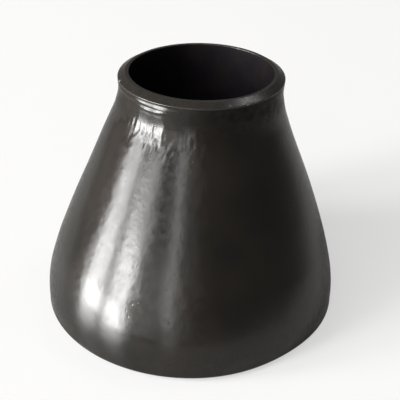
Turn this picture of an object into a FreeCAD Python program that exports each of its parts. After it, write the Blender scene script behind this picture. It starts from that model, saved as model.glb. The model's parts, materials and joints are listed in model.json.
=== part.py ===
# Eccentric butt-weld reducer, DN 125 x DN 65: 133 mm tube drawn down to 76 mm within 100 mm.
#
# The fitting is one seamless steel piece, open at both ends. It stands on its large end: the origin
# is that end's centre, the XY plane is its end plane and +Z runs up to the small end. Every level
# section is a circle, and all of them touch one straight line, the flat side, which faces +Y. So the
# small end's centre lies off the large end's axis towards +Y, and the steep side faces -Y.
#
# Seen from the side, each wall rises as a short straight skirt, a wide shoulder arc, a straight
# cone, a tighter neck arc of the opposite hand and a straight collar. Both ends are turned to a
# weld bevel that leaves a narrow root face beside the bore.

import FreeCAD, Part

import os
from dataclasses import dataclass

import Sketcher

NODE_NAME = "reducer_body"

# Driving dimensions in millimetres, the angle in degrees: alias, value, meaning.
DRIVING_SIZES = (
    ("large_diameter", 133.0, "outside diameter at the large end"),
    ("small_diameter", 76.0, "outside diameter at the small end"),
    ("face_to_face", 100.0, "height from end plane to end plane"),
    ("large_wall", 5.0, "wall at the large end"),
    ("small_wall", 5.0, "wall at the small end"),
    ("large_straight", 6.0, "straight skirt at the large end"),
    ("small_straight", 8.0, "straight collar at the small end"),
    ("shoulder_radius", 66.0, "outside arc that leads from the skirt into the cone"),
    ("neck_radius", 30.0, "outside arc that leads from the cone into the collar"),
    ("bevel_angle", 30.0, "weld bevel, measured from the end plane"),
    ("root_face", 1.5, "width of the flat ring that the bevel leaves beside the bore"),
    ("cut_overrun", 1.0, "how far a turned cut runs past the metal that it removes"),
)

# How many steps a loft takes along each arc of the profile.
SHOULDER_STEPS = 6
NECK_STEPS = 5


@dataclass(frozen=True)
class Face:
    """One face of the wall, outside or bore, as expressions of the driving dimensions.

    Attributes:
        name: Prefix of this face's derived values.
        large: Radius at the large end.
        small: Radius at the small end.
        shoulder: Radius of the shoulder arc.
        neck: Radius of the neck arc.
    """

    name: str
    large: str
    small: str
    shoulder: str
    neck: str

    def value(self, suffix: str) -> str:
        """Return the reference to one of this face's derived values."""
        return f"Form.{self.name}_{suffix}"


@dataclass(frozen=True)
class Station:
    """One level section of a face: the expressions of its height and its radius."""

    height: str
    radius: str


OUTSIDE = Face(
    name="outside",
    large="Sizes.large_diameter / 2",
    small="Sizes.small_diameter / 2",
    shoulder="Sizes.shoulder_radius",
    neck="Sizes.neck_radius",
)
BORE = Face(
    name="bore",
    large="Sizes.large_diameter / 2 - Sizes.large_wall",
    small="Sizes.small_diameter / 2 - Sizes.small_wall",
    shoulder="Sizes.shoulder_radius - Sizes.large_wall",
    neck="Sizes.neck_radius + Sizes.small_wall",
)


def write_sizes(doc: FreeCAD.Document) -> None:
    """Write the driving dimensions to a sheet, one to a row, each cell aliased by its name.

    Args:
        doc: The document that gets the sheet.
    """
    sheet = doc.addObject("Spreadsheet::Sheet", "Sizes")
    for row, (alias, value, meaning) in enumerate(DRIVING_SIZES, start=1):
        sheet.set(f"A{row}", alias)
        sheet.set(f"B{row}", str(value))
        sheet.set(f"C{row}", meaning)
        sheet.setAlias(f"B{row}", alias)
    doc.recompute()


def write_form(doc: FreeCAD.Document) -> None:
    """Work out what the driving dimensions imply, as a set of bound variables.

    Each face's profile is an arc, a straight line and an arc of the opposite hand, all tangent, from
    one upright straight to the other. The line's tilt off the axis follows from the height between
    the straights, the drop in radius and the two arcs.

    Args:
        doc: The document, which already holds the sheet.
    """
    form = doc.addObject("App::VarSet", "Form")

    def derive(kind: str, name: str, expression: str) -> None:
        """Add one bound variable of the given property kind."""
        form.addProperty(f"App::Property{kind}", name, "Derived", "")
        form.setExpression(name, expression)

    derive("Float", "offset", f"{OUTSIDE.large} - {OUTSIDE.small}")
    derive("Float", "collar_height", "Sizes.face_to_face - Sizes.small_straight")
    derive("Float", "rise", "collar_height - Sizes.large_straight")
    for face in (OUTSIDE, BORE):
        derive("Float", f"{face.name}_large", face.large)
        derive("Float", f"{face.name}_small", face.small)
        derive("Float", f"{face.name}_shoulder", face.shoulder)
        derive("Float", f"{face.name}_neck", face.neck)
        derive("Float", f"{face.name}_drop", f"{face.name}_large - {face.name}_small")
        derive("Float", f"{face.name}_arcs", f"{face.name}_shoulder + {face.name}_neck")
        slack = f"({face.name}_arcs - {face.name}_drop)"
        lean = f"acos({face.name}_arcs / hypot({slack}; rise))"
        derive("Angle", f"{face.name}_tilt", f"atan2(rise; {slack}) - {lean}")
    doc.recompute()


def shoulder_station(face: Face, share: float) -> Station:
    """Return the section a given share of the way round the shoulder arc, from the skirt."""
    turn = f"({share:.4f} * {face.value('tilt')})"
    return Station(
        height=f"Sizes.large_straight + {face.value('shoulder')} * sin({turn})",
        radius=f"{face.value('large')} - {face.value('shoulder')} * (1 - cos({turn}))",
    )


def neck_station(face: Face, share: float) -> Station:
    """Return the section a given share of the way round the neck arc, from the collar."""
    turn = f"({share:.4f} * {face.value('tilt')})"
    return Station(
        height=f"Form.collar_height - {face.value('neck')} * sin({turn})",
        radius=f"{face.value('small')} + {face.value('neck')} * (1 - cos({turn}))",
    )


def new_sketch(body: FreeCAD.DocumentObject, name: str, role: str) -> FreeCAD.DocumentObject:
    """Add an empty sketch that lies flat on one of the body's own origin planes.

    Args:
        body: The body that owns the sketch.
        name: Name of the sketch.
        role: Role of the plane, such as XY_Plane.

    Returns:
        The sketch.
    """
    sketch = body.newObject("Sketcher::SketchObject", name)
    plane = next(plane for plane in body.Origin.OriginFeatures if plane.Role == role)
    sketch.AttachmentSupport = [(plane, "")]
    sketch.MapMode = "FlatFace"
    return sketch


def bind_constraint(sketch: FreeCAD.DocumentObject, name: str, constraint: Sketcher.Constraint,
                    expression: str) -> None:
    """Add a dimension to a sketch, name it and bind it to an expression.

    Args:
        sketch: The sketch that gets the dimension.
        name: Name of the dimension.
        constraint: The dimension at a provisional value.
        expression: What its value is worked out from.
    """
    index = sketch.addConstraint(constraint)
    sketch.renameConstraint(index, name)
    sketch.setExpression(f".Constraints.{name}", expression)


def section_sketch(body: FreeCAD.DocumentObject, name: str, face: Face,
                   station: Station) -> FreeCAD.DocumentObject:
    """Draw one level section: a circle that touches its face's flat side.

    The circle moves towards +Y in step with its own drop in radius, and has moved by the whole
    offset where the drop is complete.

    Args:
        body: The body that owns the sketch.
        name: Name of the sketch.
        face: The face that the section belongs to.
        station: Height and radius of the section.

    Returns:
        The sketch.
    """
    sketch = new_sketch(body, name, "XY_Plane")
    provisional = 1.0
    circle = sketch.addGeometry(
        Part.Circle(FreeCAD.Vector(), FreeCAD.Vector(0, 0, 1), provisional), False)
    sketch.addConstraint(Sketcher.Constraint("Coincident", circle, 3, -1, 1))
    radius = Sketcher.Constraint("Radius", circle, provisional)
    bind_constraint(sketch, "radius", radius, station.radius)
    share = f"({face.value('large')} - ({station.radius})) / {face.value('drop')}"
    sketch.setExpression(".AttachmentOffset.Base.y", f"Form.offset * {share}")
    sketch.setExpression(".AttachmentOffset.Base.z", station.height)
    return sketch


def add_transition(body: FreeCAD.DocumentObject, kind: str, face: Face) -> None:
    """Loft a face's transition: round the shoulder, straight up the cone and round into the collar.

    Args:
        body: The body that gets the lofts.
        kind: AdditiveLoft for metal, SubtractiveLoft for the hollow.
        face: The face that the lofts follow.
    """
    arcs = {
        "shoulder": [shoulder_station(face, step / SHOULDER_STEPS)
                     for step in range(SHOULDER_STEPS + 1)],
        "neck": [neck_station(face, step / NECK_STEPS) for step in range(NECK_STEPS, -1, -1)],
    }
    sketches = {
        arc: [section_sketch(body, f"{face.name}_{arc}_section_{number}", face, station)
              for number, station in enumerate(stations)]
        for arc, stations in arcs.items()
    }
    spans = (
        ("shoulder", sketches["shoulder"], False),
        ("cone", [sketches["shoulder"][-1], sketches["neck"][0]], True),
        ("neck", sketches["neck"], False),
    )
    for span, sections, ruled in spans:
        loft = body.newObject(f"PartDesign::{kind}", f"{face.name}_{span}")
        loft.Profile = sections[0]
        loft.Sections = sections[1:]
        loft.Ruled = ruled


def add_straight(body: FreeCAD.DocumentObject, kind: str, name: str, face: Face, foot: Station,
                 length: str) -> None:
    """Add or cut one straight end, upwards from the section at its foot.

    Args:
        body: The body that gets the feature.
        kind: Pad for metal, Pocket for the hollow.
        name: Name of the feature.
        face: The face that the straight belongs to.
        foot: The straight's lowest section.
        length: Expression of the straight's length.
    """
    profile = section_sketch(body, f"{name}_section", face, foot)
    feature = body.newObject(f"PartDesign::{kind}", name)
    feature.Profile = profile
    feature.Reversed = kind == "Pocket"
    feature.setExpression("Length", length)


def add_face(body: FreeCAD.DocumentObject, face: Face, straight_kind: str, loft_kind: str) -> None:
    """Add the metal inside the outside face, or cut the hollow inside the bore face.

    Args:
        body: The body that gets the features.
        face: The face to build.
        straight_kind: Pad for metal, Pocket for the hollow.
        loft_kind: AdditiveLoft for metal, SubtractiveLoft for the hollow.
    """
    skirt_foot = Station(height="0", radius=face.value("large"))
    collar_foot = Station(height="Form.collar_height", radius=face.value("small"))
    add_straight(body, straight_kind, f"{face.name}_skirt", face, skirt_foot,
                 "Sizes.large_straight")
    add_transition(body, loft_kind, face)
    add_straight(body, straight_kind, f"{face.name}_collar", face, collar_foot,
                 "Sizes.small_straight")


def cut_weld_bevel(body: FreeCAD.DocumentObject, end: str, height: str, offset: str,
                   way: int) -> None:
    """Turn the weld bevel on one end, about that end's own axis.

    The cutter's section is a right-angled triangle. Its long side is the bevel: it leaves the end
    plane at the root face's outer edge and goes into the end as it runs outwards.

    Args:
        body: The body that gets the cut.
        end: Which end, large or small.
        height: Expression of the end plane's height.
        offset: Expression of how far the end's axis lies towards +Y.
        way: 1 where the end faces up, -1 where it faces down.
    """
    sketch = new_sketch(body, f"{end}_bevel_section", "XZ_Plane")
    sketch.setExpression(".AttachmentOffset.Base.y", height)
    sketch.setExpression(".AttachmentOffset.Base.z", f"-({offset})")
    inner = FreeCAD.Vector(1, way, 0)
    outer = FreeCAD.Vector(2, way, 0)
    deep = FreeCAD.Vector(2, -way, 0)
    lines = [Part.LineSegment(inner, outer), Part.LineSegment(outer, deep),
             Part.LineSegment(deep, inner)]
    top, side, bevel = sketch.addGeometry(lines, False)
    sketch.addConstraint([
        Sketcher.Constraint("Coincident", top, 2, side, 1),
        Sketcher.Constraint("Coincident", side, 2, bevel, 1),
        Sketcher.Constraint("Coincident", bevel, 2, top, 1),
        Sketcher.Constraint("Horizontal", top),
        Sketcher.Constraint("Vertical", side),
    ])
    slope = "tan(Sizes.bevel_angle)"
    root_edge = f"(Form.bore_{end} + Sizes.root_face)"
    outer_edge = f"(Form.outside_{end} + Sizes.cut_overrun)"
    bind_constraint(sketch, "inner_radius", Sketcher.Constraint("DistanceX", -1, 1, top, 1, 1.0),
                    f"{root_edge} - Sizes.cut_overrun / {slope}")
    bind_constraint(sketch, "outer_radius", Sketcher.Constraint("DistanceX", -1, 1, side, 1, 2.0),
                    outer_edge)
    bind_constraint(sketch, "overrun", Sketcher.Constraint("DistanceY", -1, 1, side, 1, way),
                    f"{way} * Sizes.cut_overrun")
    bind_constraint(sketch, "depth", Sketcher.Constraint("DistanceY", -1, 1, bevel, 1, -way),
                    f"{-way} * ({outer_edge} - {root_edge}) * {slope}")
    groove = body.newObject("PartDesign::Groove", f"{end}_bevel")
    groove.Profile = sketch
    groove.ReferenceAxis = (sketch, ["V_Axis"])
    groove.Angle = 360.0


def build_reducer(doc: FreeCAD.Document) -> FreeCAD.DocumentObject:
    """Build the reducer: the metal, then the hollow through it, then a bevel at each end.

    Args:
        doc: The document, which already holds the sizes and the form.

    Returns:
        The finished body.
    """
    body = doc.addObject("PartDesign::Body", NODE_NAME)
    body.Label = NODE_NAME
    body.Placement = FreeCAD.Placement()
    add_face(body, OUTSIDE, "Pad", "AdditiveLoft")
    add_face(body, BORE, "Pocket", "SubtractiveLoft")
    cut_weld_bevel(body, "large", height="0", offset="0", way=-1)
    cut_weld_bevel(body, "small", height="Sizes.face_to_face", offset="Form.offset", way=1)
    doc.recompute()
    return body


def check_document(doc: FreeCAD.Document) -> None:
    """Stop with a message if any object failed, or if a body's shape isn't one valid solid.

    Args:
        doc: The finished document.
    """
    failed = [item.Name for item in doc.Objects if {"Invalid", "Error"} & set(item.State)]
    if failed:
        raise RuntimeError(f"these objects failed: {', '.join(failed)}")
    for body in doc.findObjects("PartDesign::Body"):
        shape = body.Shape
        if shape.isNull() or not shape.isValid() or len(shape.Solids) != 1:
            raise RuntimeError(f"{body.Label} is not one valid solid")


def main() -> None:
    """Build the document, check it and write one STEP file for each body."""
    doc = FreeCAD.newDocument("EccentricReducer")
    write_sizes(doc)
    write_form(doc)
    build_reducer(doc)
    check_document(doc)
    os.makedirs("parts", exist_ok=True)
    for body in doc.findObjects("PartDesign::Body"):
        body.Shape.exportStep(f"parts/{body.Label}.step")
        print(f"{body.Label}: {body.Shape.Volume:.1f} mm3, {body.Shape.BoundBox}")


main()
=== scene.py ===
"""Dressing of an eccentric butt-weld reducer: forged steel under a thin, glossy black coat.

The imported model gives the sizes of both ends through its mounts. From them this script rebuilds the
wall as one fine closed mesh, with the waves, wrinkles, pits and knocks of a forged fitting, and gives
it its coat. Then it lays a pale floor, places the lamps and sets the camera.
"""

import json
import logging
import math
import random
from dataclasses import dataclass, field
from enum import Enum
from typing import Any

import bpy
import numpy as np
from mathutils import Matrix, Quaternion, Vector, kdtree, noise


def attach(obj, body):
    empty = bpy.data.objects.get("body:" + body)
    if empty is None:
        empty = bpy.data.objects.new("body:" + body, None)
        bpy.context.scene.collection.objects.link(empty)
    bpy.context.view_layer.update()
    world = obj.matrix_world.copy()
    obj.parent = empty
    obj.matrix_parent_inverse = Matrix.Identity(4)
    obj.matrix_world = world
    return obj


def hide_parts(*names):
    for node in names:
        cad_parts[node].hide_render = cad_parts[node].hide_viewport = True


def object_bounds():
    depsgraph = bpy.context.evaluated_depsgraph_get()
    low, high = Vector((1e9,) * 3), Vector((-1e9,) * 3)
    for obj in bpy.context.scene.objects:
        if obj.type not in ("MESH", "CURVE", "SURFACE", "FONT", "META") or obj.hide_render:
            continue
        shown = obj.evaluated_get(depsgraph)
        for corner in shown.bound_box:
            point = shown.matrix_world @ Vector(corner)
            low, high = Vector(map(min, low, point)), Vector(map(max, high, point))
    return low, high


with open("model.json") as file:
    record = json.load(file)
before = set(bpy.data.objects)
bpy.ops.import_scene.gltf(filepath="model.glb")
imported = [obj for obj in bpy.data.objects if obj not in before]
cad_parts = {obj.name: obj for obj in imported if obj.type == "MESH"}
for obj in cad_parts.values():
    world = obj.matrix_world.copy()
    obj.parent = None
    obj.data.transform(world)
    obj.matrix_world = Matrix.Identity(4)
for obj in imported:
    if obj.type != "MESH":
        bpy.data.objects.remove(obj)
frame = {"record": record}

MM = 0.001
CAD_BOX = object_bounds()

log = logging.getLogger("reducer")

Colour = tuple[float, float, float]


# ---------------------------------------------------------------------------------------- shader maths


class Board:
    """A material's node tree, with one method that adds any node."""

    def __init__(self, tree: bpy.types.NodeTree) -> None:
        """Take over a tree and empty it.

        Args:
            tree: The node tree to fill.
        """
        self.tree = tree
        tree.nodes.clear()

    def node(self, kind: str, settings: dict[str, Any] | None = None,
             inputs: dict[str | int, Any] | None = None) -> bpy.types.Node:
        """Add a node, set it up and feed its sockets.

        Args:
            kind: Node type without its ShaderNode prefix.
            settings: Properties to set first, such as a Math node's operation.
            inputs: Sockets by name or index, each a plain value, a socket or a Shade.

        Returns:
            The node.
        """
        node = self.tree.nodes.new(f"ShaderNode{kind}")
        for name, value in (settings or {}).items():
            setattr(node, name, value)
        for name, value in (inputs or {}).items():
            self.feed(node.inputs[name], value)
        return node

    def feed(self, socket: bpy.types.NodeSocket, value: Any) -> None:
        """Link a socket to a Shade or another socket, or set its plain value.

        Args:
            socket: The input to feed.
            value: A Shade, an output socket or a plain value.
        """
        if isinstance(value, Shade):
            value = value.socket
        if isinstance(value, bpy.types.NodeSocket):
            self.tree.links.new(value, socket)
        else:
            socket.default_value = value

    def shade(self, kind: str, output: str | int, settings: dict[str, Any] | None = None,
              inputs: dict[str | int, Any] | None = None) -> "Shade":
        """Add a node and wrap one of its outputs."""
        return Shade(self, self.node(kind, settings, inputs).outputs[output])

    def attribute(self, name: str) -> "Shade":
        """Read one of the mesh's own masks."""
        return self.shade("Attribute", "Fac", {"attribute_name": name})

    def lumps(self, place: Any, size: float, detail: float) -> "Shade":
        """Return soft noise whose lumps are about one size across."""
        return self.shade("TexNoise", 0, None, {"Vector": place, "Scale": 1.0 / size, "Detail": detail})

    def bump(self, height: "Shade", distance: float) -> bpy.types.NodeSocket:
        """Return the normal of a surface raised by a height, times a distance in metres."""
        return self.node("Bump", None, {"Height": height, "Distance": distance}).outputs["Normal"]

    def blend(self, share: "Shade", first: bpy.types.Node, second: bpy.types.Node) -> bpy.types.Node:
        """Return a shader that goes from the first to the second by a share."""
        return self.node("MixShader", None, {0: share, 1: first.outputs[0], 2: second.outputs[0]})

    def mix(self, share: "Shade", low: Any, high: Any) -> bpy.types.NodeSocket:
        """Blend two colours by a share, and return the blend's socket."""
        node = self.node("Mix", {"data_type": "RGBA"}, {0: share, 6: low, 7: high})
        return node.outputs[2]


@dataclass(frozen=True)
class Shade:
    """A number that changes over a surface: a socket with arithmetic.

    Attributes:
        board: The board that its Math nodes go on.
        socket: The output that carries the number.
    """

    board: Board
    socket: bpy.types.NodeSocket

    def _maths(self, operation: str, *values: Any, clamp: bool = False) -> "Shade":
        """Add a Math node on the given values."""
        settings = {"operation": operation, "use_clamp": clamp}
        return self.board.shade("Math", 0, settings, dict(enumerate(values)))

    def __add__(self, other: Any) -> "Shade":
        """Add."""
        return self._maths("ADD", self, other)

    def __radd__(self, other: Any) -> "Shade":
        """Add, reflected."""
        return self._maths("ADD", other, self)

    def __sub__(self, other: Any) -> "Shade":
        """Subtract."""
        return self._maths("SUBTRACT", self, other)

    def __rsub__(self, other: Any) -> "Shade":
        """Subtract from."""
        return self._maths("SUBTRACT", other, self)

    def __mul__(self, other: Any) -> "Shade":
        """Multiply."""
        return self._maths("MULTIPLY", self, other)

    def __rmul__(self, other: Any) -> "Shade":
        """Multiply, reflected."""
        return self._maths("MULTIPLY", other, self)

    def __pow__(self, other: Any) -> "Shade":
        """Raise to a power."""
        return self._maths("POWER", self, other)

    def between(self, low: float, high: float) -> "Shade":
        """Return how far the value is from low to high, held between 0 and 1."""
        scaled = (self - low) * (1.0 / (high - low))
        return scaled._maths("ADD", scaled, 0.0, clamp=True)

    def spread(self, low: float, high: float) -> "Shade":
        """Return the value that lies this share of the way from low to high."""
        return self * (high - low) + low


def opaque(colour: Colour) -> tuple[float, float, float, float]:
    """Return a colour with full opacity."""
    return (*colour, 1.0)


# -------------------------------------------------------------------------------------------- finishes


@dataclass(frozen=True)
class ForgedCoat:
    """The thin black coat of a forged fitting, over its outside and its turned ends.

    Attributes:
        name: Name of the material.
        black: The coat's main colour.
        warm: The browner colour of its thin patches.
        turned: The colour over the turned bevels.
        steel: Bare steel, where a knock has gone through.
        gloss: Roughness of the coat at its smoothest and at its dullest.
        shine: How strongly the coat mirrors, where 0.5 is a common lacquer.
        turned_gloss: Roughness over the turned ends, likewise.
        dull_gloss: Roughness where the coat is dull, likewise.
        dull_shine: How strongly it mirrors there.
        dull_rim: How much duller the thin coat's sheen is where it is seen at a slant.
        patch_size: Size of the thin patches.
        film_size: Size of the spots over which the gloss changes.
        peel_size: Size of the orange peel.
        grain_size: Size of the finest grain.
        pinhole_gap: Distance between pinholes.
        pinhole_field: Size of the places where the pinholes gather.
        relief: Depth of the bump.
    """

    name: str = "black_coated_steel"
    black: Colour = (0.0064, 0.0055, 0.0046)
    warm: Colour = (0.0098, 0.0079, 0.0062)
    turned: Colour = (0.0155, 0.0136, 0.0118)
    steel: Colour = (0.42, 0.40, 0.37)
    gloss: tuple[float, float] = (0.15, 0.24)
    turned_gloss: tuple[float, float] = (0.22, 0.34)
    shine: float = 0.5
    dull_gloss: tuple[float, float] = (0.24, 0.32)
    dull_shine: float = 0.02
    dull_rim: float = 0.75
    patch_size: float = 22 * MM
    film_size: float = 3.2 * MM
    peel_size: float = 1.5 * MM
    grain_size: float = 0.5 * MM
    pinhole_gap: float = 2.6 * MM
    pinhole_field: float = 8 * MM
    relief: float = 0.040 * MM

    def material(self) -> bpy.types.Material:
        """Build the material.

        Returns:
            The material, which reads the mesh's turned, bare, dull and across attributes.
        """
        material = bpy.data.materials.new(self.name)
        material.use_nodes = True
        board = Board(material.node_tree)
        place = board.node("TexCoord").outputs["Object"]
        turned = board.attribute("turned")
        bare = board.attribute("bare")
        patches = board.lumps(place, self.patch_size, 3.0).between(0.38, 0.66)
        film = board.lumps(place, self.film_size, 4.0).between(0.30, 0.72)
        colour = board.mix(patches, opaque(self.black), opaque(self.warm))
        colour = board.mix(turned, colour, opaque(self.turned))
        colour = board.mix(bare, colour, opaque(self.steel))
        roughness = film.spread(*self.gloss)
        roughness = roughness + turned * (film.spread(*self.turned_gloss) - roughness)
        normal = self._normal(board, place, turned)
        glossy = board.node("BsdfPrincipled", None, {
            "Base Color": colour,
            "Roughness": roughness,
            "Metallic": bare * 0.9,
            "Specular IOR Level": self.shine,
            "Normal": normal,
        })
        dull = board.node("BsdfPrincipled", None, {
            "Base Color": colour,
            "Roughness": film.spread(*self.dull_gloss),
            "Specular IOR Level": self.dull_shine,
            "Normal": normal,
        })
        facing = board.shade("LayerWeight", "Facing", None, {"Blend": 0.5})
        share = board.attribute("dull") * (film * 0.2 + 0.8)
        share = share + (1.0 - share) * facing.between(0.55, 0.92) * self.dull_rim
        output = board.node("OutputMaterial")
        board.feed(output.inputs["Surface"], board.blend(share, glossy, dull).outputs[0])
        return material

    def _normal(self, board: Board, place: Any, turned: Shade) -> bpy.types.NodeSocket:
        """Bump the surface: orange peel and pinholes on the coat, tool lines on the turned ends.

        Args:
            board: The board to draw on.
            place: The point on the surface.
            turned: Mask of the turned ends.

        Returns:
            The normal's socket.
        """
        peel = board.lumps(place, self.peel_size, 2.0)
        grain = board.lumps(place, self.grain_size, 2.0)
        cells = board.shade("TexVoronoi", "Distance", {"feature": "F1"},
                            {"Vector": place, "Scale": 1.0 / self.pinhole_gap})
        gathered = board.lumps(place, self.pinhole_field, 2.0).between(0.45, 0.62)
        pinholes = (1.0 - cells.between(0.04, 0.20)) * gathered
        line_place = board.node("CombineXYZ", None, {0: board.attribute("across")}).outputs[0]
        lines = board.lumps(line_place, 0.32, 2.0)
        skin = peel * 0.75 + grain * 0.4 - pinholes * 1.1
        height = skin * (1.0 - turned * 0.7) + lines * turned * 1.1
        return board.bump(height, self.relief)


@dataclass(frozen=True)
class MillScale:
    """The dull, violet-black scale left inside by the hot forming.

    Attributes:
        name: Name of the material.
        scale: The scale's main colour.
        rust: The browner colour of its thin patches.
        gloss: Roughness of the scale at its smoothest and at its dullest.
        shine: How strongly it mirrors, where 0.5 is a common lacquer.
        patch_size: Size of the thin patches.
        flake_size: Size of its flakes.
        grain_size: Size of its grain.
        relief: Depth of the bump.
    """

    name: str = "mill_scale"
    scale: Colour = (0.0060, 0.0050, 0.0068)
    rust: Colour = (0.0090, 0.0072, 0.0070)
    gloss: tuple[float, float] = (0.45, 0.62)
    shine: float = 0.06
    patch_size: float = 12 * MM
    flake_size: float = 2.2 * MM
    grain_size: float = 0.6 * MM
    relief: float = 0.05 * MM

    def material(self) -> bpy.types.Material:
        """Build the material.

        Returns:
            The material.
        """
        material = bpy.data.materials.new(self.name)
        material.use_nodes = True
        board = Board(material.node_tree)
        place = board.node("TexCoord").outputs["Object"]
        patches = board.lumps(place, self.patch_size, 4.0).between(0.45, 0.68)
        flakes = board.lumps(place, self.flake_size, 3.0).between(0.35, 0.65)
        grain = board.lumps(place, self.grain_size, 3.0)
        shader = board.node("BsdfPrincipled", None, {
            "Base Color": board.mix(patches, opaque(self.scale), opaque(self.rust)),
            "Roughness": flakes.spread(*self.gloss),
            "Specular IOR Level": self.shine,
            "Normal": board.bump(flakes * 0.8 + grain * 0.6, self.relief),
        })
        output = board.node("OutputMaterial")
        board.feed(output.inputs["Surface"], shader.outputs["BSDF"])
        return material


@dataclass(frozen=True)
class PaleFloor:
    """A plain, off-white floor that fades towards pure white.

    Attributes:
        name: Name of the material.
        colour: Its colour in the light.
        matt: Roughness of the floor as it is looked at, and how strongly it mirrors.
        satin: The same for the floor that the coat mirrors, which carries the windows further down.
        white: Share of pure white that is seen in it, so that the shadow on it stays soft.
        mirrored_white: The same share in what the coat mirrors.
    """

    name: str = "pale_floor"
    colour: Colour = (0.72, 0.72, 0.715)
    matt: tuple[float, float] = (0.9, 0.1)
    satin: tuple[float, float] = (0.20, 0.5)
    white: float = 0.55
    mirrored_white: float = 0.05

    def _surface(self, board: Board, roughness: float, shine: float) -> bpy.types.Node:
        """Return the floor's shader at a roughness and a strength of mirroring."""
        return board.node("BsdfPrincipled", None, {
            "Base Color": opaque(self.colour), "Roughness": roughness, "Specular IOR Level": shine})

    def material(self) -> bpy.types.Material:
        """Build the material.

        Returns:
            The material.
        """
        material = bpy.data.materials.new(self.name)
        material.use_nodes = True
        board = Board(material.node_tree)
        seen = board.shade("LightPath", "Is Camera Ray")
        mirrored = board.shade("LightPath", "Is Glossy Ray")
        through = board.shade("LightPath", "Is Transmission Ray")
        floor = board.blend(mirrored, self._surface(board, *self.matt),
                            self._surface(board, *self.satin))
        white = board.node("Emission", None, {"Color": (1.0, 1.0, 1.0, 1.0), "Strength": 1.0})
        share = (seen + through) * self.white + mirrored * self.mirrored_white
        output = board.node("OutputMaterial")
        board.feed(output.inputs["Surface"], board.blend(share, floor, white).outputs[0])
        return material


# --------------------------------------------------------------------------------- the reducer's form


class Zone(Enum):
    """Which part of the wall's skin a point lies on."""

    OUTSIDE = "outside"
    TURNED = "turned"
    BORE = "bore"


# How much of the forging's unevenness each part of the skin keeps.
WAVINESS = {Zone.OUTSIDE: 1.0, Zone.BORE: 0.8, Zone.TURNED: 0.22}

# Relief that has faded below this share is left out.
FAINT = 0.02


@dataclass(frozen=True)
class Mount:
    """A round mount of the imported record, in metres.

    Attributes:
        radius: Its radius.
        length: Its length along the axis.
        centre: A point on its axis.
    """

    radius: float
    length: float
    centre: Vector

    @classmethod
    def named(cls, name: str) -> "Mount":
        """Find a round mount of the record.

        Args:
            name: The mount's name.

        Returns:
            The mount.
        """
        entry = next(mount for mount in frame["record"]["mounts"] if mount["name"] == name)
        dims = entry["dims"]
        return cls(dims["r_mm"] * MM, dims["length_mm"] * MM, Vector(entry["pos_m"]))


@dataclass(frozen=True)
class Ring:
    """One level circle of the skin.

    Attributes:
        height: Its height.
        radius: Its radius.
        centre: How far its centre lies towards +Y.
        zone: The part of the skin that it belongs to.
    """

    height: float
    radius: float
    centre: float
    zone: Zone


@dataclass(frozen=True)
class WallFace:
    """One face of the wall, from its large straight end to its small one.

    Attributes:
        large: Radius at the large end.
        small: Radius at the small end.
        shoulder: Radius of the arc above the skirt.
        neck: Radius of the arc below the collar.
        skirt: Height where the skirt ends.
        collar: Height where the collar begins.
        offset: How far the small end's axis lies towards +Y.
        zone: The part of the skin that it is.
    """

    large: float
    small: float
    shoulder: float
    neck: float
    skirt: float
    collar: float
    offset: float
    zone: Zone

    def tilt(self) -> float:
        """Find the cone's tilt off the axis, which makes it tangent to both arcs.

        Returns:
            The tilt in radians.
        """
        arcs = self.shoulder + self.neck
        slack = arcs - (self.large - self.small)
        rise = self.collar - self.skirt
        return math.atan2(rise, slack) - math.acos(arcs / math.hypot(slack, rise))

    def radius(self, height: float) -> float:
        """Return the radius at a height.

        Args:
            height: Height above the large end's plane.

        Returns:
            The radius of the level circle there.
        """
        tilt = self.tilt()
        cone_foot = self.skirt + self.shoulder * math.sin(tilt)
        cone_head = self.collar - self.neck * math.sin(tilt)
        if height <= self.skirt:
            return self.large
        if height <= cone_foot:
            fall = math.sqrt(self.shoulder ** 2 - (height - self.skirt) ** 2)
            return self.large - self.shoulder + fall
        if height >= self.collar:
            return self.small
        if height >= cone_head:
            swell = math.sqrt(self.neck ** 2 - (self.collar - height) ** 2)
            return self.small + self.neck - swell
        foot_radius = self.large - self.shoulder * (1.0 - math.cos(tilt))
        return foot_radius - (height - cone_foot) * math.tan(tilt)

    def ring(self, height: float) -> Ring:
        """Find the level circle at a height, which touches the flat side.

        Args:
            height: Height above the large end's plane.

        Returns:
            The circle.
        """
        radius = self.radius(height)
        centre = self.offset * (self.large - radius) / (self.large - self.small)
        return Ring(height, radius, centre, self.zone)

    def rings(self, low: float, high: float, spacing: float) -> list[Ring]:
        """Return evenly spaced circles from one height to another."""
        count = max(2, round((high - low) / spacing))
        return [self.ring(low + (high - low) * step / count) for step in range(count + 1)]


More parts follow.
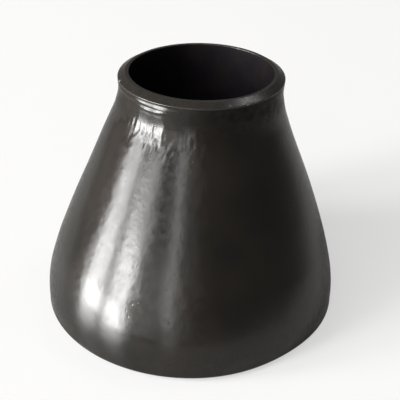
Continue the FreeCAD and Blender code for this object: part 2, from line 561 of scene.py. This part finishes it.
@dataclass(frozen=True)
class EndFace:
    """One turned end: the weld bevel, the root face and the softened edges between them.

    Attributes:
        outside: The outside radius at the end.
        bore: The bore's radius at the end.
        plane: Height of the end plane.
        centre: How far the end's axis lies towards +Y.
        way: 1 where the end faces up, -1 where it faces down.
        root_face: Width of the flat ring beside the bore.
        bevel_angle: The bevel's angle from the end plane, in radians.
        outer_edge: How far the bevel's outer edge is rounded.
        inner_edge: How far the two edges of the root face are rounded.
    """

    outside: float
    bore: float
    plane: float
    centre: float
    way: int
    root_face: float = 1.5 * MM
    bevel_angle: float = math.radians(30.0)
    outer_edge: float = 0.45 * MM
    inner_edge: float = 0.22 * MM

    def bevel_height(self) -> float:
        """Return how far the bevel reaches from the end plane."""
        return (self.outside - self.bore - self.root_face) * math.tan(self.bevel_angle)

    def bevel_foot(self) -> float:
        """Return the height at which the bevel meets the outside."""
        return self.plane - self.way * self.bevel_height()

    def rings(self, spacing: float) -> list[Ring]:
        """Return the end's circles, from the outside in.

        Args:
            spacing: Distance between circles along the bevel and the root face.

        Returns:
            The circles, in order from the outside straight to the bore.
        """
        inwards = Vector((0.0, -self.way))
        foot = Vector((self.outside, self.bevel_foot()))
        root = Vector((self.bore + self.root_face, self.plane))
        lip = Vector((self.bore, self.plane))
        path = [*self._rounded(foot + inwards * MM, foot, root, self.outer_edge, 4)]
        bevel_end = self._rounded(foot, root, lip, self.inner_edge, 3)
        lip_turn = self._rounded(root, lip, lip + inwards * MM, self.inner_edge, 3)
        path += self._line(path[-1], bevel_end[0], spacing) + bevel_end
        path += self._line(path[-1], lip_turn[0], spacing) + lip_turn
        return [Ring(point.y, point.x, self.centre, Zone.TURNED) for point in path]

    @staticmethod
    def _rounded(before: Vector, corner: Vector, after: Vector, radius: float,
                 steps: int) -> list[Vector]:
        """Soften a corner between two lines.

        Args:
            before: A point on the line that comes in.
            corner: The corner.
            after: A point on the line that goes out.
            radius: Radius of the arc.
            steps: How many pieces the arc is cut into.

        Returns:
            The points of the arc.
        """
        back = (before - corner).normalized()
        ahead = (after - corner).normalized()
        half = math.acos(max(-1.0, min(1.0, back.dot(ahead)))) / 2.0
        start = corner + back * radius / math.tan(half)
        middle = corner + (back + ahead).normalized() * radius / math.sin(half)
        sweep = math.pi - 2.0 * half
        turn = sweep if back.cross(ahead) < 0.0 else -sweep
        spoke = start - middle
        return [middle + Matrix.Rotation(turn * step / steps, 2) @ spoke for step in range(steps + 1)]

    @staticmethod
    def _line(start: Vector, end: Vector, spacing: float) -> list[Vector]:
        """Return the points strictly between two ends of a line."""
        count = max(1, round((end - start).length / spacing))
        return [start.lerp(end, step / count) for step in range(1, count)]


@dataclass(frozen=True)
class Wave:
    """One layer of forged unevenness.

    Attributes:
        depth: How far it swings either way.
        width: Size of its lumps round the wall.
        tall: Size of its lumps up the wall.
        seed: Where in the noise it is taken from.
    """

    depth: float
    width: float
    tall: float
    seed: float

    def height(self, point: Vector) -> float:
        """Return the layer's height at a point."""
        return self.depth * noise.noise(Vector((
            point.x / self.width + self.seed,
            point.y / self.width - self.seed,
            point.z / self.tall + self.seed * 0.5,
        )))


class Spread(Enum):
    """How a swell runs round the wall."""

    ALL_ROUND = "all round"
    SECTOR = "one sector"
    LEAN = "out on one side, in on the other"


@dataclass(frozen=True)
class Swell:
    """A broad place where the forged outside stands proud of its true form, or short of it.

    Attributes:
        depth: How far it stands proud, below 0 where it falls short.
        height: Height of its middle.
        reach: How far it reaches up and down.
        spread: How it runs round the wall.
        azimuth: Direction of its middle, in degrees.
        sector: How far it reaches round, in degrees.
    """

    depth: float
    height: float
    reach: float
    spread: Spread = Spread.ALL_ROUND
    azimuth: float = 0.0
    sector: float = 30.0

    def rise(self, azimuths: np.ndarray, height: float) -> np.ndarray:
        """Return how far the wall stands proud round one ring.

        Args:
            azimuths: The ring's directions, in degrees.
            height: Height of the ring.

        Returns:
            The swell at each direction.
        """
        away = (azimuths - self.azimuth + 180.0) % 360.0 - 180.0
        if self.spread is Spread.SECTOR:
            around = np.exp(-(away / self.sector) ** 2)
        elif self.spread is Spread.LEAN:
            around = np.cos(np.radians(away))
        else:
            around = np.ones_like(azimuths)
        return self.depth * math.exp(-((height - self.height) / self.reach) ** 2) * around


@dataclass(frozen=True)
class Knock:
    """A dent or nick left by handling.

    Attributes:
        azimuth: Direction of the knock from its ring's centre, in degrees.
        height: Height of the knock.
        reach: Radius of the dent.
        depth: Depth of the dent.
        bare: How much of the coat it has taken off, from 0 to 1.
    """

    azimuth: float
    height: float
    reach: float
    depth: float
    bare: float = 0.0


@dataclass
class ForgedWall:
    """The whole fitting as one closed skin: outside, bore and both turned ends.

    Attributes:
        columns: Points round each ring.
        outside_spacing: Height between rings on the outside.
        collar_foot: Height above which the collar's rings lie closer.
        collar_spacing: Height between rings there.
        bore_spacing: Height between rings in the bore.
        end_spacing: Distance between rings on the turned ends.
        shoulder: Outside arc above the skirt.
        neck: Outside arc below the collar.
        straight_gap: How far the outside and the bore keep from the rings of the turned ends.
        waves: Unevenness of the forged faces, from broad to fine.
        wrinkles: Fine upright wrinkles below the collar.
        wrinkle_height: Height of their middle.
        wrinkle_reach: How far they reach up and down.
        wrinkle_rest: How much of them there is outside the ridged sector.
        ridges: Level ridges on the collar.
        ridge_height: Height of their middle.
        ridge_reach: How far they reach up and down.
        ridge_azimuth: Direction of their middle, in degrees.
        ridge_sector: How far they reach round, in degrees.
        swells: Places where the outside stands proud of its true form, or short of it.
        knocks: Dents and nicks from handling.
        pits: How many shallow pits are scattered over the outside.
        pit_reach: Smallest and largest radius of a pit.
        pit_depth: Smallest and largest depth of a pit.
        seed: Seed of the scattered pits.
        dull_collar: Heights at which the coat begins to dull and is fully dull, going up.
        dull_skirt: The same going down.
        skirt_dullness: How dull the skirt is at most.
        ridge_gloss: How much of the collar's dullness the ridged sector is spared.
        rings: The skin's rings, once they are built.
    """

    columns: int = 448
    outside_spacing: float = 0.80 * MM
    collar_foot: float = 87 * MM
    collar_spacing: float = 0.38 * MM
    bore_spacing: float = 2.8 * MM
    end_spacing: float = 0.42 * MM
    straight_gap: float = 0.6 * MM
    shoulder: float = 66.0 * MM
    neck: float = 30.0 * MM
    waves: tuple[Wave, ...] = (
        Wave(0.30 * MM, 48 * MM, 64 * MM, 3.1),
        Wave(0.050 * MM, 14 * MM, 52 * MM, 7.7),
        Wave(0.034 * MM, 5.5 * MM, 14 * MM, 12.9),
        Wave(0.018 * MM, 2.4 * MM, 4.0 * MM, 21.4),
    )
    wrinkles: tuple[Wave, ...] = (
        Wave(0.17 * MM, 1.9 * MM, 26 * MM, 31.0),
        Wave(0.10 * MM, 1.5 * MM, 12 * MM, 37.0),
    )
    wrinkle_height: float = 84.0 * MM
    wrinkle_reach: float = 7.0 * MM
    wrinkle_rest: float = 0.15
    ridges: Wave = Wave(1.00 * MM, 26 * MM, 1.5 * MM, 57.0)
    ridge_height: float = 95.2 * MM
    ridge_reach: float = 2.6 * MM
    ridge_azimuth: float = -116.0
    ridge_sector: float = 24.0
    swells: tuple[Swell, ...] = (
        Swell(-0.42 * MM, 25 * MM, 9 * MM),
        Swell(0.36 * MM, 49 * MM, 14 * MM),
        Swell(0.62 * MM, 74 * MM, 14 * MM, Spread.LEAN, 180.0),
        Swell(-0.5 * MM, 92.5 * MM, 4.5 * MM),
        Swell(0.9 * MM, 92.0 * MM, 3.2 * MM, Spread.SECTOR, -112.0, 22.0),
        Swell(-1.2 * MM, 1 * MM, 10 * MM, Spread.SECTOR, -43.0, 22.0),
    )
    knocks: tuple[Knock, ...] = (
        Knock(-64.0, 98.6 * MM, 0.7 * MM, 0.10 * MM, 0.25),
        Knock(-52.0, 98.2 * MM, 0.9 * MM, 0.14 * MM, 0.25),
        Knock(-158.0, 98.0 * MM, 1.0 * MM, 0.28 * MM, 0.5),
    )
    pits: int = 420
    pit_reach: tuple[float, float] = (0.9 * MM, 2.4 * MM)
    pit_depth: tuple[float, float] = (0.006 * MM, 0.035 * MM)
    seed: int = 41
    dull_collar: tuple[float, float] = (78 * MM, 91 * MM)
    dull_skirt: tuple[float, float] = (24 * MM, 10 * MM)
    skirt_dullness: float = 0.5
    ridge_gloss: float = 0.9
    rings: list[Ring] = field(default_factory=list)

    def build(self) -> bpy.types.Object:
        """Build the skin, mark its zones and put it on the part's body.

        Returns:
            The finished object.
        """
        self.rings = self._rings()
        points = self._grid()
        points = points + self._swell(points)
        normals = self._normals(points)
        lift = self._forged_lift(points, normals)
        points = self._held_to_size(points + normals * lift[..., None])
        mesh = self._mesh(points)
        obj = bpy.data.objects.new("forged_reducer", mesh)
        bpy.context.scene.collection.objects.link(obj)
        bare = self._knock_in(mesh)
        self._write_masks(mesh, bare)
        mesh.materials.append(ForgedCoat().material())
        mesh.materials.append(MillScale().material())
        slots = np.repeat([int(ring.zone is Zone.BORE) for ring in self.rings], self.columns)
        mesh.polygons.foreach_set("material_index", slots.astype(np.int32))
        mesh.polygons.foreach_set("use_smooth", np.ones(len(mesh.polygons), dtype=bool))
        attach(obj, "root")
        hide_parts("reducer_body")
        return obj

    def _rings(self) -> list[Ring]:
        """List the skin's rings.

        Returns:
            The rings up the outside, over the small end, down the bore and round the large end.
        """
        large_bore = Mount.named("large_end_bore")
        small_bore = Mount.named("small_end_bore")
        large_outside = Mount.named("large_end_outside")
        small_outside = Mount.named("small_end_outside")
        top = CAD_BOX[1][2]
        offset = small_bore.centre.y
        wall = large_outside.radius - large_bore.radius
        skirt = large_bore.length
        collar = top - small_bore.length
        outside = WallFace(large_outside.radius, small_outside.radius, self.shoulder, self.neck,
                           skirt, collar, offset, Zone.OUTSIDE)
        bore = WallFace(large_bore.radius, small_bore.radius, self.shoulder - wall,
                        self.neck + wall, skirt, collar, offset, Zone.BORE)
        small_end = EndFace(small_outside.radius, small_bore.radius, top, offset, 1)
        large_end = EndFace(large_outside.radius, large_bore.radius, 0.0, 0.0, -1)
        gap = self.straight_gap
        rings = outside.rings(large_end.bevel_foot() + gap, self.collar_foot, self.outside_spacing)
        rings += outside.rings(self.collar_foot, small_end.bevel_foot() - gap,
                               self.collar_spacing)[1:]
        rings += small_end.rings(self.end_spacing)
        rings += bore.rings(gap, top - gap, self.bore_spacing)[::-1]
        rings += large_end.rings(self.end_spacing)[::-1]
        return rings

    def _grid(self) -> np.ndarray:
        """Lay out every ring's points.

        Returns:
            The points, by ring and then by column.
        """
        turns = np.linspace(0.0, 2.0 * math.pi, self.columns, endpoint=False)
        heights = np.array([ring.height for ring in self.rings])[:, None]
        radii = np.array([ring.radius for ring in self.rings])[:, None]
        centres = np.array([ring.centre for ring in self.rings])[:, None]
        level = np.broadcast_to(heights, (len(self.rings), self.columns))
        return np.stack([radii * np.cos(turns), centres + radii * np.sin(turns), level], axis=-1)

    def _swell(self, points: np.ndarray) -> np.ndarray:
        """Work out how far the swells move each point, level and away from its ring's centre.

        Args:
            points: The true form.

        Returns:
            The move of each point. The bore isn't moved, and a turned end less towards the bore.
        """
        azimuths = np.linspace(0.0, 360.0, self.columns, endpoint=False)
        ways = np.stack([np.cos(np.radians(azimuths)), np.sin(np.radians(azimuths)),
                         np.zeros_like(azimuths)], axis=-1)
        moves = np.zeros_like(points)
        ends = (self.rings[0].radius, Mount.named("small_end_outside").radius)
        wall = ends[0] - Mount.named("large_end_bore").radius
        middle = (CAD_BOX[0][2] + CAD_BOX[1][2]) / 2.0
        for row, ring in enumerate(self.rings):
            if ring.zone is Zone.BORE:
                continue
            end = ends[0] if ring.height < middle else ends[1]
            share = 1.0 if ring.zone is Zone.OUTSIDE else 1.0 - (end - ring.radius) / wall
            rise = sum(swell.rise(azimuths, ring.height) for swell in self.swells)
            moves[row] = ways * (rise * max(0.0, share))[:, None]
        return moves

    @staticmethod
    def _normals(points: np.ndarray) -> np.ndarray:
        """Work out the outward normals of the closed grid.

        Args:
            points: The grid's points.

        Returns:
            The normal at each point.
        """
        around = np.roll(points, -1, axis=1) - np.roll(points, 1, axis=1)
        along = np.roll(points, -1, axis=0) - np.roll(points, 1, axis=0)
        normals = np.cross(around, along)
        return normals / np.linalg.norm(normals, axis=-1, keepdims=True)

    def _forged_lift(self, points: np.ndarray, normals: np.ndarray) -> np.ndarray:
        """Return how far each point is moved along its normal.

        Args:
            points: The true form.
            normals: Its normals; not used.

        Returns:
            The movement of each point, mostly within a few tenths of a millimetre.
        """
        lift = np.zeros(points.shape[:2])
        for row, ring in enumerate(self.rings):
            share = WAVINESS[ring.zone]
            fold = self._fading(ring, self.wrinkle_height, self.wrinkle_reach)
            ridge = self._fading(ring, self.ridge_height, self.ridge_reach)
            for column in range(self.columns):
                spot = Vector(points[row, column])
                rise = sum(wave.height(spot) for wave in self.waves) * share
                if fold > FAINT:
                    rise += (fold * (self.wrinkle_rest + self._in_sector(column))
                             * sum(wave.height(spot) for wave in self.wrinkles))
                if ridge > FAINT:
                    rise += ridge * self._in_sector(column) * self.ridges.height(spot)
                lift[row, column] = rise
        return lift

    @staticmethod
    def _fading(ring: Ring, height: float, reach: float) -> float:
        """Fade relief out above and below a height.

        Args:
            ring: The ring.
            height: Where the relief is strongest.
            reach: How far it reaches up and down.

        Returns:
            1 for an outside ring at the height, down to 0 away from it, and 0 off the outside.
        """
        if ring.zone is not Zone.OUTSIDE:
            return 0.0
        return math.exp(-((ring.height - height) / reach) ** 2)

    def _in_sector(self, column: int) -> float:
        """Fade relief out beside the ridged sector.

        Args:
            column: The column of points.

        Returns:
            1 in the sector's middle, down to 0 beside it.
        """
        azimuth = 360.0 * column / self.columns
        away = (azimuth - self.ridge_azimuth + 180.0) % 360.0 - 180.0
        return math.exp(-(away / self.ridge_sector) ** 2)

    @staticmethod
    def _held_to_size(points: np.ndarray) -> np.ndarray:
        """Press the skin back inside the large end's round and the fitting's own box.

        Args:
            points: The skin's points.

        Returns:
            The points, none of them outside either.
        """
        limit = Mount.named("large_end_outside").radius
        away = np.hypot(points[..., 0], points[..., 1])
        held = points.copy()
        held[..., :2] *= np.minimum(1.0, limit / away)[..., None]
        return np.clip(held, np.array(CAD_BOX[0]), np.array(CAD_BOX[1]))

    def _mesh(self, points: np.ndarray) -> bpy.types.Mesh:
        """Join the grid into one closed skin of four-sided faces.

        Args:
            points: The grid's points.

        Returns:
            The mesh.
        """
        rows = len(self.rings)
        index = np.arange(rows * self.columns).reshape(rows, self.columns)
        right = np.roll(index, -1, axis=1)
        up = np.roll(index, -1, axis=0)
        across = np.roll(right, -1, axis=0)
        faces = np.stack([index, right, across, up], axis=-1).reshape(-1, 4)
        mesh = bpy.data.meshes.new("forged_reducer")
        mesh.from_pydata(points.reshape(-1, 3).tolist(), [], faces.tolist())
        mesh.update()
        return mesh

    def _knock_in(self, mesh: bpy.types.Mesh) -> np.ndarray:
        """Press the knocks and a scatter of shallow pits into the skin.

        Args:
            mesh: The skin.

        Returns:
            How bare each point is, from 0 to 1.
        """
        tree = kdtree.KDTree(len(mesh.vertices))
        for vertex in mesh.vertices:
            tree.insert(vertex.co, vertex.index)
        tree.balance()
        bare = np.zeros(len(mesh.vertices))
        chance = random.Random(self.seed)
        outside = [row for row, ring in enumerate(self.rings) if ring.zone is Zone.OUTSIDE]
        dents = [(self._surface_point(mesh, knock), knock) for knock in self.knocks]
        for _ in range(self.pits):
            spot = chance.choice(outside) * self.columns + chance.randrange(self.columns)
            pit = Knock(0.0, 0.0, chance.uniform(*self.pit_reach), chance.uniform(*self.pit_depth))
            dents.append((mesh.vertices[spot].co.copy(), pit))
        for centre, dent in dents:
            for place, number, distance in tree.find_range(centre, dent.reach):
                share = (1.0 - (distance / dent.reach) ** 2) ** 2
                vertex = mesh.vertices[number]
                vertex.co -= vertex.normal * dent.depth * share
                bare[number] = max(bare[number], dent.bare * share)
        mesh.update()
        return bare

    def _surface_point(self, mesh: bpy.types.Mesh, knock: Knock) -> Vector:
        """Find the outside or turned point nearest to where a knock is aimed.

        Args:
            mesh: The skin.
            knock: The knock.

        Returns:
            The point.
        """
        rows = [row for row, ring in enumerate(self.rings) if ring.zone is not Zone.BORE]
        row = min(rows, key=lambda number: abs(self.rings[number].height - knock.height))
        turn = math.radians(knock.azimuth) % (2.0 * math.pi)
        column = round(turn / (2.0 * math.pi) * self.columns) % self.columns
        return mesh.vertices[row * self.columns + column].co.copy()

    def _write_masks(self, mesh: bpy.types.Mesh, bare: np.ndarray) -> None:
        """Store what the coat reads: dull places, turned ends, the way across them and bare spots.

        Args:
            mesh: The skin.
            bare: How bare each point is, from 0 to 1.
        """
        zones = [ring.zone for ring in self.rings]
        path = [Vector((ring.radius, ring.centre, ring.height)) for ring in self.rings]
        steps = [0.0] + [(b - a).length for a, b in zip(path, path[1:])]
        across = np.cumsum(steps) / MM
        sector = np.array([self._in_sector(column) for column in range(self.columns)])
        heights = np.array([ring.height for ring in self.rings])
        outside = np.array([float(zone is Zone.OUTSIDE) for zone in zones])
        collar = self._ramped(heights, *self.dull_collar) ** 1.5 * outside
        skirt = self._ramped(heights, *self.dull_skirt) * outside * self.skirt_dullness
        masks = {
            "dull": (np.outer(collar, 1.0 - self.ridge_gloss * sector) + skirt[:, None]).reshape(-1),
            "turned": np.repeat([float(zone is Zone.TURNED) for zone in zones], self.columns),
            "across": np.repeat(across, self.columns),
            "bare": bare,
        }
        for name, values in masks.items():
            layer = mesh.attributes.new(name, "FLOAT", "POINT")
            layer.data.foreach_set("value", np.ascontiguousarray(values, dtype=np.float32))

    @staticmethod
    def _ramped(heights: np.ndarray, start: float, full: float) -> np.ndarray:
        """Return 0 before the start height, rising evenly to 1 at the full height."""
        return np.clip((heights - start) / (full - start), 0.0, 1.0)


# -------------------------------------------------------------------------------------------- studio


DAYLIGHT: Colour = (1.0, 0.995, 0.98)
LAMPLIGHT: Colour = (1.0, 0.98, 0.96)


@dataclass(frozen=True)
class SoftBox:
    """A soft lamp that faces the fitting.

    Attributes:
        name: Name of the lamp.
        azimuth: Direction of the lamp from the fitting, in degrees from +X.
        elevation: Its height angle, in degrees.
        distance: Its distance.
        width: Its width.
        tall: Its height.
        radiance: How bright its face is, where 1 is a white wall in full light.
        lean: How far it is tipped over sideways, in degrees.
        colour: Its colour.
    """

    name: str
    azimuth: float
    elevation: float
    distance: float
    width: float
    tall: float
    radiance: float
    lean: float = 0.0
    colour: Colour = (1.0, 1.0, 1.0)

    def place(self, target: Vector) -> None:
        """Hang the lamp and turn it to the target.

        Args:
            target: The point that the lamp faces.
        """
        data = bpy.data.lights.new(self.name, "AREA")
        data.shape = "RECTANGLE"
        data.size = self.width
        data.size_y = self.tall
        data.energy = self.radiance * math.pi * self.width * self.tall
        data.color = self.colour
        lamp = bpy.data.objects.new(self.name, data)
        azimuth = math.radians(self.azimuth)
        elevation = math.radians(self.elevation)
        way = Vector((math.cos(azimuth) * math.cos(elevation),
                      math.sin(azimuth) * math.cos(elevation), math.sin(elevation)))
        lamp.location = target + way * self.distance
        facing = (-way).to_track_quat("-Z", "Y")
        lean = Quaternion((0.0, 0.0, 1.0), math.radians(self.lean))
        lamp.rotation_euler = (facing @ lean).to_euler()
        bpy.context.scene.collection.objects.link(lamp)


@dataclass(frozen=True)
class Studio:
    """The floor, the lamps and the even light of the room.

    Attributes:
        floor_side: Length of the floor's sides.
        room: Light from straight above.
        horizon: Light from level with the floor.
        fading: How quickly the horizon's light gives way to the room's, going up.
        lamps: The lamps.
    """

    floor_side: float = 60.0
    room: Colour = (0.120, 0.117, 0.113)
    horizon: Colour = (0.52, 0.51, 0.49)
    fading: float = 7.0
    lamps: tuple[SoftBox, ...] = (
        SoftBox("left_window_low", -163.5, 8.3, 6.0, 1.74, 1.62, 28.0, 12.0, DAYLIGHT),
        SoftBox("left_window_middle", -166.5, 21.5, 6.0, 1.56, 1.26, 20.0, 12.0, DAYLIGHT),
        SoftBox("left_window_high", -168.5, 35.0, 6.0, 1.44, 1.56, 11.5, 12.0, DAYLIGHT),
        SoftBox("front_window_low", -142.5, 10.5, 6.0, 1.62, 2.10, 30.0, 10.0, DAYLIGHT),
        SoftBox("front_window_middle", -144.5, 29.0, 6.0, 1.50, 1.56, 24.0, 2.0, DAYLIGHT),
        SoftBox("front_window_high", -143.0, 48.5, 6.0, 1.26, 2.52, 6.0, 0.0, DAYLIGHT),
        SoftBox("pale_wall", -122.0, 24.0, 6.6, 3.30, 4.50, 1.3, 0.0, LAMPLIGHT),
        SoftBox("front_strip_low", -98.5, 9.0, 6.0, 1.02, 1.80, 1.9, 3.0, LAMPLIGHT),
        SoftBox("front_strip_high", -104.5, 42.0, 6.0, 0.90, 5.40, 3.9, 10.0, LAMPLIGHT),
        SoftBox("front_glow", -90.0, 36.0, 6.3, 1.50, 6.00, 0.4, 0.0, LAMPLIGHT),
        SoftBox("ceiling_lamp", 40.0, 57.0, 6.0, 1.26, 1.14, 6.5, 0.0, DAYLIGHT),
        SoftBox("warm_wall", 170.0, 24.0, 6.0, 3.60, 3.90, 0.45, 0.0, (1.0, 0.90, 0.78)),
        SoftBox("back_fill", 100.0, 50.0, 7.8, 4.20, 3.60, 0.6, 0.0, DAYLIGHT),
    )

    def build(self) -> None:
        """Lay the floor, hang the lamps and light the room."""
        half = self.floor_side / 2.0
        corners = [(-half, -half, 0.0), (half, -half, 0.0), (half, half, 0.0), (-half, half, 0.0)]
        mesh = bpy.data.meshes.new("floor")
        mesh.from_pydata(corners, [], [(0, 1, 2, 3)])
        mesh.materials.append(PaleFloor().material())
        floor = bpy.data.objects.new("floor", mesh)
        floor.location.z = CAD_BOX[0][2]
        bpy.context.scene.collection.objects.link(floor)
        target = (Vector(CAD_BOX[0]) + Vector(CAD_BOX[1])) / 2.0
        for lamp in self.lamps:
            lamp.place(target)
        world = bpy.data.worlds.new("room")
        bpy.context.scene.world = world
        world.use_nodes = True
        board = Board(world.node_tree)
        way = board.node("TexCoord").outputs["Generated"]
        level = 1.0 - board.shade("SeparateXYZ", 2, None, {0: way}).between(0.0, 1.0)
        colour = board.mix(level ** self.fading, opaque(self.room), opaque(self.horizon))
        light = board.node("Background", None, {"Color": colour, "Strength": 1.0})
        output = board.node("OutputWorld")
        board.feed(output.inputs["Surface"], light.outputs["Background"])


@dataclass(frozen=True)
class Camera:
    """The camera, placed round a point of the fitting.

    Attributes:
        aim: The point that it looks at.
        azimuth: Which way it looks, in degrees from +Y towards +X.
        elevation: How far it looks down, in degrees.
        distance: Its distance from the aim.
        roll: How far its right side is tipped up, in degrees.
        focal: Focal length, in millimetres.
        film: Width of its film, in millimetres.
        sight: Nearest and farthest distance that it sees.
    """

    aim: Vector = Vector((3.7 * MM, -0.2 * MM, 49.0 * MM))
    azimuth: float = -6.18
    elevation: float = 30.71
    distance: float = 388.5 * MM
    roll: float = 1.375
    focal: float = 77.3
    film: float = 36.0
    sight: tuple[float, float] = (0.01, 50.0)

    def place(self) -> None:
        """Set the camera up and make it the scene's own."""
        turn = math.radians(self.azimuth)
        down = math.radians(self.elevation)
        ahead = Vector((math.sin(turn) * math.cos(down), math.cos(turn) * math.cos(down),
                        -math.sin(down)))
        level = ahead.cross(Vector((0.0, 0.0, 1.0))).normalized()
        upright = level.cross(ahead)
        roll = math.radians(self.roll)
        right = level * math.cos(roll) + upright * math.sin(roll)
        up = upright * math.cos(roll) - level * math.sin(roll)
        data = bpy.data.cameras.new("camera")
        data.sensor_width = self.film
        data.lens = self.focal
        data.clip_start, data.clip_end = self.sight
        camera = bpy.data.objects.new("camera", data)
        axes = Matrix((right, up, -ahead)).transposed()
        camera.matrix_world = Matrix.Translation(self.aim - ahead * self.distance) @ axes.to_4x4()
        bpy.context.scene.collection.objects.link(camera)
        bpy.context.scene.camera = camera


def main() -> None:
    """Dress the fitting, then set up the studio and the camera."""
    logging.basicConfig(level=logging.INFO, format="%(name)s: %(message)s")
    bpy.context.scene.view_settings.view_transform = "Standard"
    wall = ForgedWall().build()
    log.info("%s: %d points", wall.name, len(wall.data.vertices))
    Studio().build()
    log.info("studio: floor, lamps and room light")
    Camera().place()
    log.info("camera placed")


if __name__ == "__main__":
    main()
